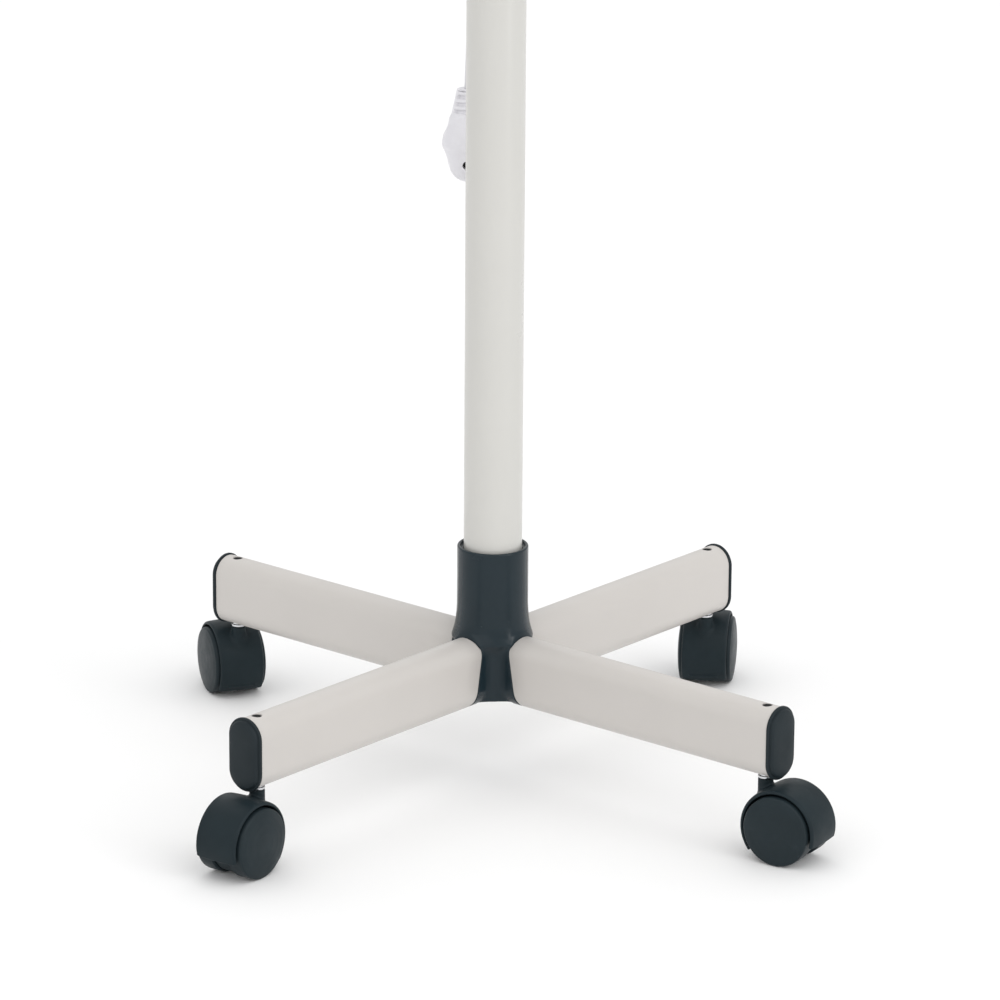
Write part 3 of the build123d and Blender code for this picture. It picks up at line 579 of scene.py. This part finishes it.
def cord_points():
    up = [(CORD_X, CORD_Y, 875), (CORD_X - 0.2, CORD_Y, 838), (CORD_X + 0.5, CORD_Y + 0.5, 792), (CORD_X, CORD_Y, Z1)]
    low = [(CORD_X, CORD_Y, Z0), (CORD_X + 0.3, CORD_Y - 0.3, 557), (CORD_X - 0.3, CORD_Y + 0.1, 513), (PLUG_X, CORD_Y, PLUG_TOP)]
    pts = list(up)
    zc = HANK_Z
    # down the middle of the bundle, then four flat turns, two on each side of it
    pts += [(CORD_X, CORD_Y, zc + 50), (CORD_X, CORD_Y, zc + 14), (CORD_X + 1.0, CORD_Y - 0.5, zc - 14)]
    fan = [14.0, 7.0, -7.0, -14.0]
    waist = [10.5, 3.5, -3.5, -10.5]
    R, E = 21.0, 53.0
    turns = []
    for i in range(4):
        ye, yw = fan[i], waist[i]
        w = [(-0.6, 0.8, 0.4, -0.5)[i], (0.7, -0.5, 0.6, -0.8)[i]]
        rb = R + w[0]
        rt = R + w[1]
        lp = []
        # bottom end, right to left
        lp.append((0.72 * rb, ye, -34))
        for a in (0, -36, -72, -108, -144, -180):
            lp.append((rb * 1.04 * math.cos(math.radians(a)), ye, -E + rb * 1.04 * math.sin(math.radians(a))))
        lp.append((-0.72 * rb, ye, -34))
        lp.append((-6.6, yw, -13))
        lp.append((-6.4, yw, 13))
        lp.append((-0.72 * rt, ye, 34))
        for a in (180, 144, 108, 72, 36, 0):
            lp.append((rt * 1.04 * math.cos(math.radians(a)), ye, E + rt * 1.04 * math.sin(math.radians(a))))
        lp.append((0.72 * rt, ye, 34))
        if i < 3:
            nxt = waist[i + 1]
            lp.append((6.6, yw, 13))
            lp.append((6.4, (yw + nxt) / 2 if abs(yw - nxt) < 9 else yw, -13))
        turns.append(lp)
    for lp in turns:
        pts += [(CORD_X + x, CORD_Y + y, zc + z) for x, y, z in lp]
    pts += [(CORD_X + 6.4, CORD_Y - 10.0, zc + 12), (CORD_X + 4.6, CORD_Y - 7.0, zc - 14), (CORD_X + 1.5, CORD_Y - 2.0, zc - 44)]
    pts += low
    return pts


def make_cord():
    pts = cord_points()
    cu = bpy.data.curves.new("mains_cord", "CURVE")
    cu.dimensions = "3D"
    sp = cu.splines.new("NURBS")
    sp.points.add(len(pts) - 1)
    for q, p in zip(sp.points, pts):
        q.co = (p[0] * MM, p[1] * MM, p[2] * MM, 1)
    sp.order_u = 3
    sp.use_endpoint_u = True
    sp.resolution_u = 10
    cu.bevel_depth = CORD_D / 2 * MM
    cu.bevel_resolution = 6
    cu.use_fill_caps = True
    ob = bpy.data.objects.new("mains_cord", cu)
    SC.collection.objects.link(ob)
    ob.data.materials.append(M["cord"])
    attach(ob, "head")
    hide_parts("cord_upper", "cord_hank", "cord_lower")
    return ob


cord = make_cord()


# ------------------------------------------------------------------ stand: hub, legs, end caps
def joint_s(z):
    return 26.0 + (94.0 - z) * 5.0 / 29.0


HUB_Z = [50, 56.5, 90.0, 94.5, 98.2, 100.4, 101.4, 103.0, 105.5, 108.5, 112.5, 118.0, 124.0, 200]
HUB_R = [22.6, 22.6, 22.6, 23.4, 26.3, 27.95, 28.0, 27.55, 26.75, 26.0, 25.3, 24.75, 24.45, 24.45]


def hub_f(x, y, z):
    r = np.hypot(x, y)
    skin = r - np.interp(z, HUB_Z, HUB_R)
    core = smax(skin, CORE_BOT - 1.7 - z, 1.2)
    core = smax(core, z - HUB_TOP, 1.3)
    ax, ay = np.abs(x), np.abs(y)
    s, t = (ax + ay) * 0.70710678, (ax - ay) * 0.70710678
    dz = z - np.clip(z, LEG_Z - 11.5, LEG_Z + 11.5)
    arm = np.hypot(t, dz) - 13.05
    arm = smax(arm, (s - joint_s(z)) * 0.985, 1.0)
    arm = smax(arm, HUB_BOT - z, 1.2)
    out = smin(core, arm, 4.5)
    out = smax(out, -s_cyl(x, y, z, 26.0, 40, CORE_BOT - 1.7, 0.0), 0.5)
    out = smax(out, -s_cyl(x, y, z, 16.1, 40, CORE_BOT, 0.0), 0.3)
    out = smax(out, -s_cyl(x, y, z, 20.05, 66, 220, 0.0), 0.7)
    out = smax(out, -s_cyl(x, y, z, 22.25, HUB_TOP - 2.4, 220, 0.0), 0.7)
    return smax(out, -s_cyl(x, y, z, 5.3, 40, 70, 0.0), 0.4)


hub = nets("hub_casting_skin", hub_f, (-29.5, -29.5, 56), (29.5, 29.5, 166.2), 0.72)
piece(hub, "hub", "base", "hub_casting", slot="hub_plastic")


def leg_mesh(name, az):
    n_s = 14
    outer, inner = stadium_loop(LEG_H, LEG_W), stadium_loop(LEG_H - 4, LEG_W - 4)

    def start(t, z):
        s = joint_s(z)
        w = min(1.0, max(0.0, (z - 98.9) / 0.8))
        return s * (1 - w) + max(s, math.sqrt(max(0.0, 28.25 ** 2 - t * t))) * w

    def ring(loop, k, inset=0.0):
        out = []
        for t, z in loop:
            s0 = start(t, z + LEG_Z) + inset
            out.append((s0 + (LEG_END - 0.02 - inset - s0) * k, t, z + LEG_Z))
        return out

    loops = [ring(inner, k / n_s) for k in range(n_s + 1)][::-1]
    loops += [ring([(t * 0.985, z * 0.992) for t, z in outer], 0.0)]
    loops += [ring(outer, 0.0, 0.45)] + [ring(outer, k / n_s) for k in range(1, n_s)] + [ring(outer, 1.0, 0.3)]
    ob = loft(name, loops, rot_z(az), cap=False, close_ring=True)
    tool = lathe("tool", [(0, 95, 0), (3.5, 95, 0), (3.5, 104.55, 0), (4.0, 105.6, 0), (4.0, 110, 0), (0, 110, 0)], 40, rot_z(az) @ Matrix.Translation((STEM_R, 0, 0)))
    tool2 = lathe("tool2", [(0, 50, 0), (4.55, 50, 0), (4.55, 62, 0), (0, 62, 0)], 40, rot_z(az) @ Matrix.Translation((STEM_R, 0, 0)))
    cut(ob, tool, tool2)
    return crisp(ob, 40)


for k_, az_ in LEG_AZ.items():
    ob = leg_mesh("leg_%s_tube" % k_, az_)
    piece(ob, "stand", "base", "leg_" + k_, slot="stand_paint")


def cap_mesh(az):
    lv = [(248.5, -0.5), (248.75, -0.15), (249.1, 0.0), (250.1, 0.0), (250.45, -0.12), (250.65, -0.45), (250.7, -1.0), (250.7, -1.5),
          (250.82, -1.72), (252.0, -1.95), (252.7, -2.25), (253.1, -2.8), (253.3, -3.7), (253.55, -5.5), (253.75, -7.5), (253.85, -9.5), (253.9, -11.5), (253.92, -13.0)]
    loops = []
    for s, d in lv:
        loops.append([(s, t, z + LEG_Z) for t, z in stadium_loop(51.0 + 2 * d, 28.2 + 2 * d)])
    ob = loft("cap", loops, rot_z(az))
    return crisp(ob, 50)


caps = join("leg_end_caps_moulded", [cap_mesh(a) for a in LEG_AZ.values()])
crisp(caps, 50)
piece(caps, "slate", "base", "leg_end_caps", slot="slate_plastic")

stems = join("castor_stem_set", [lathe("stem", [(0, 30), (3.95, 30, 0.5), (3.95, 53.9, 0.2), (4.8, 53.9, 0.35), (5.3, 54.4, 0.3), (5.3, 55.7, 0.3), (4.2, 55.95, 0.1), (4.2, 90, 0.8), (0, 90)],
                                       48, rot_z(a) @ Matrix.Translation((STEM_R, 0, 0))) for a in LEG_AZ.values()])
crisp(stems, 40)
# near-black plugs sunk in the leg-top openings: painted shade, so that the openings read dark
hole_shade_plugs = join("leg_top_hole_shade_plugs", [lathe("plug", [(0, 99.0), (3.42, 99.0, 0.2), (3.42, 104.2, 0.3), (2.6, 104.45, 0.3), (2.2, 103.6, 0.3), (0, 103.5)], 36,
                                     rot_z(a) @ Matrix.Translation((STEM_R, 0, 0))) for a in LEG_AZ.values()])
crisp(hole_shade_plugs, 40)
piece(hole_shade_plugs, "painted_shade", "base")
piece(stems, "chrome", "base", "castor_stems", slot="chrome_plate")

post = lathe("post_tube_skin", [(18.0, 66, 0.4), (20.0, 66, 0.6), (20.0, 180, 0), (20.0, 300, 0), (20.0, 420, 0), (20.0, 540, 0), (20.0, 640, 0), (20.0, 700, 0.6), (18.0, 700, 0.4)],
             160, closed=True)
crisp(post, 40)
piece(post, "post", "base", "post_tube", slot="post_paint")


# ------------------------------------------------------------------ castors
HOOD_R, HOOD_ROOM, HOOD_W = 28.5, 25.6, 16.3


def hood_f(x, y, z):
    dx, dz = x - TRAIL, z - WHEEL_R
    r = np.hypot(dx, dz)
    ay = np.abs(y)
    # outer shell, slightly crowned across its width, rounded at both rims
    outer = smax(r - (HOOD_R - 0.0030 * ay * ay), ay - HOOD_W, 1.9)
    room = smax(r - HOOD_ROOM, 6.0 - ay, 0.8)
    shell = smax(outer, -room, 0.5)
    # lower opening: 16 degrees below the axle behind, 40 in front of the stem
    a0, a1 = math.radians(-16), math.radians(-140)
    d0 = -dx * math.sin(a0) + dz * math.cos(a0)
    d1 = dx * math.sin(a1) - dz * math.cos(a1)
    keep = smin(-d0, -d1, 1.0)
    shell = smax(shell, keep, 0.8)
    web = smax(r - 22.4, ay - 6.0, 0.8)
    out = smin(shell, web, 1.0)
    # moulded lip over the lower edge on the stem side
    al = math.radians(-151.5)
    u, v = dx * math.cos(al) + dz * math.sin(al), -dx * math.sin(al) + dz * math.cos(al)
    out = smin(out, s_box(u - (HOOD_R - 0.3), y, v, 1.1, 9.9, 0.55, 0.25), 0.2)
    neck = s_cyl(x, y, z, 5.2, 30.0, 53.6, 0.5)
    out = smin(out, neck, 2.2)
    out = smax(out, -s_cyl(x, y, z, 4.05, 29.5, 60), 0.3)
    return smax(out, -(np.hypot(dx, dz) - 3.0), 0.2)


hood_me = nets("hood_tmp", hood_f, (-13.4, -17.1, 0.8), (TRAIL + 29.6, 17.1, 54.2), 0.6).data
hood_src = bpy.data.objects["hood_tmp"]
wheel_prof = [(3.05, 6.5, 0.3), (9.0, 6.5, 0.3), (9.6, 7.4, 0.4), (18.6, 7.4, 0.4), (19.3, 6.5, 0.4), (22.9, 6.5, 0.8), (24.0, 7.5, 0.9), (24.0, 16.9, 0.9),
              (23.75, 18.1, 0.6), (22.9, 18.75, 1.2), (19.0, 19.6, 3.0), (14.0, 20.25, 4.0), (8.0, 20.7, 3.0), (0, 20.85)]


def wheel_mesh(name, side, m):
    prof = list(wheel_prof)
    # axle bore closed by the outer face
    prof = [(0, 18.0), (3.05, 18.0, 0.1)] + prof
    q = Matrix.Rotation(math.radians(-90 * side), 4, "X")
    return crisp(lathe(name, prof, 96, m @ Matrix.Translation((TRAIL, 0, WHEEL_R)) @ q, default=0.4), 50)


axle_prof = [(0, -17.6), (3.0, -17.6, 0.4), (3.0, 17.6, 0.4), (0, 17.6)]
for k_, az_ in LEG_AZ.items():
    a_ = math.radians(az_)
    m_ = rot_z(CASTOR_AZ[k_], STEM_R * math.cos(a_), STEM_R * math.sin(a_), 0)
    fm = m_.copy()
    fm.translation *= MM
    ob = bpy.data.objects.new("castor_hood_" + k_, hood_me.copy())
    SC.collection.objects.link(ob)
    ob.data.transform(fm)
    axle = lathe("castor_axle_" + k_, axle_prof, 40, m_ @ Matrix.Translation((TRAIL, 0, WHEEL_R)) @ Matrix.Rotation(math.radians(-90), 4, "X"))
    crisp(axle, 40)
    piece(ob, "castor", "castor_" + k_, "castor_fork_" + k_, slot="castor_plastic")
    piece(axle, "zinc", "castor_" + k_, slot="zinc_steel")
    for s_, side_ in (("left", 1), ("right", -1)):
        w_ = wheel_mesh("wheel_%s_%s_disc" % (k_, s_), side_, m_)
        piece(w_, "wheel", "wheel_%s_%s" % (k_, s_), "castor_wheel_%s_%s" % (k_, s_), slot="castor_plastic")
bpy.data.objects.remove(hood_src)


# ------------------------------------------------------------------ plug
def plug_f(x, y, z):
    X = x - PLUG_X
    # egg outline in the X-Z plane
    zz = np.clip(z, 418.6, 429.5)
    rr = 13.6 + (zz - 418.6) / (429.5 - 418.6) * 3.9
    egg = np.hypot(X, z - zz) - rr
    back = 48.2 + 0.020 * (X * X + (z - 427) ** 2)
    body = smax(egg, back - y, 9.0)
    body = smax(body, y - 79.9, 2.0)
    # shoulder and ribbed taper up to the cord
    t = np.clip((z - 434) / (451.5 - 434), 0, 1)
    wx, wy = 17.0 - 4.1 * t ** 1.3, 12.6 - 4.6 * t
    sh = (np.sqrt((X / wx) ** 2 + ((y - CORD_Y) / wy) ** 2) - 1) * np.minimum(wx, wy)
    sh = smax(sh, z - 452.0, 2.0)
    sh = smax(sh, 432 - z, 2.0)
    u = np.clip((z - 451) / 20.0, 0, 1)
    rib = 0.75 * (np.cos((z - 449.6) * 2 * math.pi / 5.4) > 0.15)
    wx2, wy2 = 12.8 - 4.4 * u, 8.2 - 2.0 * u
    ta = (np.sqrt((X / wx2) ** 2 + ((y - CORD_Y) / wy2) ** 2) - 1) * np.minimum(wx2, wy2)
    wave = 0.85 * np.clip(np.cos((z - 453.2) * 2 * math.pi / 5.0) * 2.2, -1, 1)
    front = np.clip(1 - np.abs(X) / (wx2 * 0.93), 0, 1)
    ta = ta + (0.85 - wave) * np.clip(front * 4, 0, 1) * (z > 452.4) * (z < 470)
    ta = smax(ta, z - PLUG_TOP, 1.2)
    ta = smax(ta, 446 - z, 1.0)
    out = smin(body, sh, 5.0)
    out = smin(out, ta, 1.6)
    # parting line round the rim, screw recess in the back
    seam = np.abs(y - 66.0) - 0.35
    groove = smax(-(egg + 0.7), seam, 0.3)
    out = smax(out, -smax(smax(seam, -(out + 0.55), 0.2), z - 445, 0.5), 0.25)
    out = smax(out, -s_cyl(X + 2.2, z - 420.0, y, 3.2, 40, 56.0), 0.5)
    return out


plug = nets("plug_body_moulded", plug_f, (PLUG_X - 18, 47.5, 404.4), (PLUG_X + 18, 80.3, 471.4), 0.5)
piece(plug, "plug", "head", "plug_body", slot="plug_plastic")
pin_prof = [(0, 0), (2.4, 0, 0.1), (2.4, 16.6, 0.6), (2.0, 18.4, 0.5), (1.2, 19.0, 0.4), (0, 19.0)]
pins = join("plug_pin_pair", [lathe("pin", pin_prof, 40, Matrix.Translation((PLUG_X + s * 9.5, 79.95, 427.0)) @ Matrix.Rotation(math.radians(-90), 4, "X")) for s in (1, -1)])
crisp(pins, 50)
piece(pins, "pin", "head", "plug_pins", slot="pin_metal")
# the screw head at the bottom of the back recess is near black: painted shade of the recess
screw = lathe("plug_screw", [(0, 53.6), (2.6, 53.6, 0.3), (2.6, 56.5, 0.2), (0, 56.5)], 32, Matrix.Translation((PLUG_X - 2.2, 0, 420.0)) @ Matrix.Rotation(math.radians(-90), 4, "X"))
crisp(screw, 40)
piece(screw, "painted_shade", "head", slot="zinc_steel")

gland = lathe("cord_gland_moulded", [(0, 875.0), (4.3, 875.0, 0.5), (4.9, 878.3, 0.3), (4.3, 879.0, 0.2), (4.4, 880.6, 0.2), (5.3, 881.2, 0.3), (5.5, 884.2, 0.3), (4.8, 884.9, 0.2),
                                     (4.9, 886.5, 0.2), (5.9, 887.1, 0.3), (6.1, 890.2, 0.3), (5.3, 890.9, 0.2), (5.4, 892.4, 0.2), (6.6, 893.1, 0.3), (7.2, 898.4, 1.0), (9.0, 900.4, 0.8),
                                     (9.0, 905.0, 0.2), (6.0, 905.0, 0.1), (6.0, 913, 0.3), (0, 913)], 64, Matrix.Translation((CORD_X, CORD_Y, 0)))
crisp(gland, 50)
piece(gland, "plug", "head", "cord_gland", slot="plug_plastic")


def tie_f(x, y, z):
    X, Y, Z = x - CORD_X, y - CORD_Y, z - HANK_Z
    rad = lambda o: s_box(X, Y, 0 * Z, 10.0 + o, 14.5 + o, 50, 4.0 + o)
    band = smax(rad(1.55), -rad(0.15), 0.2)
    band = smax(band, np.abs(Z) - 9.8, 0.5)
    tab = s_box(X - 8.0, Y + 16.75, Z, 5.5, 0.75, 7.0, 0.7)
    tab = smax(tab, -s_box(X - 8.0, Y + 16.75, Z, 50, 50, 0.0, 0), 0.1) if False else tab
    return smin(band, tab, 0.6)


tie = nets("hank_tie_strap", tie_f, (CORD_X - 12.5, CORD_Y - 18.2, HANK_Z - 10.5), (CORD_X + 14.2, CORD_Y + 16.8, HANK_Z + 10.5), 0.42)
piece(tie, "tie", "head", "hank_tie", slot="tie_fabric")


# ------------------------------------------------------------------ printed marks on the head: timer scale and jar levels
def chip(cx, cz, ang, length, width, y0, y1):
    """Thin bar with rounded ends in a plane facing -Y."""
    a = math.radians(ang)
    ca, sa = math.cos(a), math.sin(a)
    n, h, q = 8, max(0.0, length / 2 - width / 2), width / 2
    loop = [(h + q * math.cos(math.radians(-90 + 180 * i / n)), q * math.sin(math.radians(-90 + 180 * i / n))) for i in range(n + 1)]
    loop += [(-h + q * math.cos(math.radians(90 + 180 * i / n)), q * math.sin(math.radians(90 + 180 * i / n))) for i in range(n + 1)]
    k = len(loop)
    vs = [((cx + u * ca - w * sa) * MM, y * MM, (cz + u * sa + w * ca) * MM) for y in (y0, y1) for u, w in loop]
    fs = [list(range(k)), list(range(k, 2 * k))[::-1]] + [(i + k, (i + 1) % k + k, (i + 1) % k, i) for i in range(k)]
    ob = mesh_object("chip", vs, fs, smooth=False)
    fix_normals(ob)
    return ob


marks = []
for i_ in range(13):
    a_ = -45 + 22.5 * i_
    rm_, ln_, wd_ = (17.35, 2.3, 0.7) if i_ % 3 == 0 else (17.0, 1.5, 0.5)
    marks.append(chip(-27 + rm_ * math.cos(math.radians(a_)), 1062 + rm_ * math.sin(math.radians(a_)), a_, ln_, wd_, -174.72, -174.5))
for x_ in (14.0, 37.0):
    marks.append(chip(x_, 1082.0, 0, 9.0, 0.6, -174.72, -174.5))
scale_ = join("fascia_scale_print", marks)
piece(scale_, "ink", "head")


def level_mark(z, half_deg, az):
    """Short printed bar following the outside of the jar."""
    n = 6
    vs, k = [], n + 1
    for rad in (52.03, 52.14):
        for dz in (-0.3, 0.3):
            for i in range(k):
                a = math.radians(az - half_deg + 2 * half_deg * i / n)
                vs.append((rad * math.cos(a) * MM, (JAR_Y + rad * math.sin(a)) * MM, (z + dz) * MM))
    a0, a1, b0, b1 = 0, k, 2 * k, 3 * k
    fs = []
    for i in range(n):
        fs += [(b0 + i, b0 + i + 1, b1 + i + 1, b1 + i), (a0 + i, a1 + i, a1 + i + 1, a0 + i + 1),
               (a1 + i, b1 + i, b1 + i + 1, a1 + i + 1), (a0 + i, a0 + i + 1, b0 + i + 1, b0 + i)]
    fs += [(a0, b0, b1, a1), (a0 + n, a1 + n, b1 + n, b0 + n)]
    ob = mesh_object("level", vs, fs, smooth=False)
    fix_normals(ob)
    return ob


levels = join("jar_level_print", [level_mark(895.0 + 8.0 * i_, 8.0 if i_ in (0, 7) else 4.0, -35.0) for i_ in range(8)])
piece(levels, "print", "jar")

# ------------------------------------------------------------------ floor and light
def make_stage():
    n = 24
    size = 6.0
    verts = [(-size + 2 * size * i / n, -size + 2 * size * j / n, 0) for i in range(n + 1) for j in range(n + 1)]
    faces = [(i * (n + 1) + j, (i + 1) * (n + 1) + j, (i + 1) * (n + 1) + j + 1, i * (n + 1) + j + 1) for i in range(n) for j in range(n)]
    fl = mesh_object("floor", verts, faces)
    m = bpy.data.materials.new("floor_pale")
    m.use_nodes = True
    b = m.node_tree.nodes["Principled BSDF"]
    b.inputs["Base Color"].default_value = (0.93, 0.93, 0.93, 1)
    b.inputs["Roughness"].default_value = 0.9
    b.inputs["Specular IOR Level"].default_value = 0.1
    fl.data.materials.append(m)
    w = bpy.data.worlds.new("studio")
    SC.world = w
    w.use_nodes = True
    bg = w.node_tree.nodes["Background"]
    bg.inputs["Color"].default_value = (1, 1, 1, 1)
    bg.inputs["Strength"].default_value = 0.80

    def area(name, loc, target, size, power, sy=None):
        li = bpy.data.lights.new(name, "AREA")
        li.energy = power
        li.shape = "RECTANGLE"
        li.size = size
        li.size_y = sy or size
        ob = bpy.data.objects.new(name, li)
        SC.collection.objects.link(ob)
        ob.location = loc
        ob.rotation_mode = "QUATERNION"
        ob.rotation_quaternion = (Vector(target) - Vector(loc)).to_track_quat("-Z", "Y")

    def sun(name, az, el, strength, angle):
        li = bpy.data.lights.new(name, "SUN")
        li.energy = strength * math.pi
        li.angle = math.radians(angle)
        ob = bpy.data.objects.new(name, li)
        SC.collection.objects.link(ob)
        a, e = math.radians(az), math.radians(el)
        d = Vector((math.cos(a) * math.cos(e), math.sin(a) * math.cos(e), math.sin(e)))
        ob.rotation_mode = "QUATERNION"
        ob.rotation_quaternion = (-d).to_track_quat("-Z", "Y")

    sun("key", -48, 42, 0.22, 55)
    sun("fill", -125, 38, 0.17, 70)
    sun("rim", 95, 50, 0.10, 60)
    area("strip", (1.25, -1.15, 0.75), (0, 0, 0.42), 0.22, 2.6, 1.3)
    SC.view_settings.view_transform = "Standard"
    SC.view_settings.look = "None"
    SC.view_settings.exposure = 0.0
    SC.view_settings.gamma = 1.0


make_stage()

import json
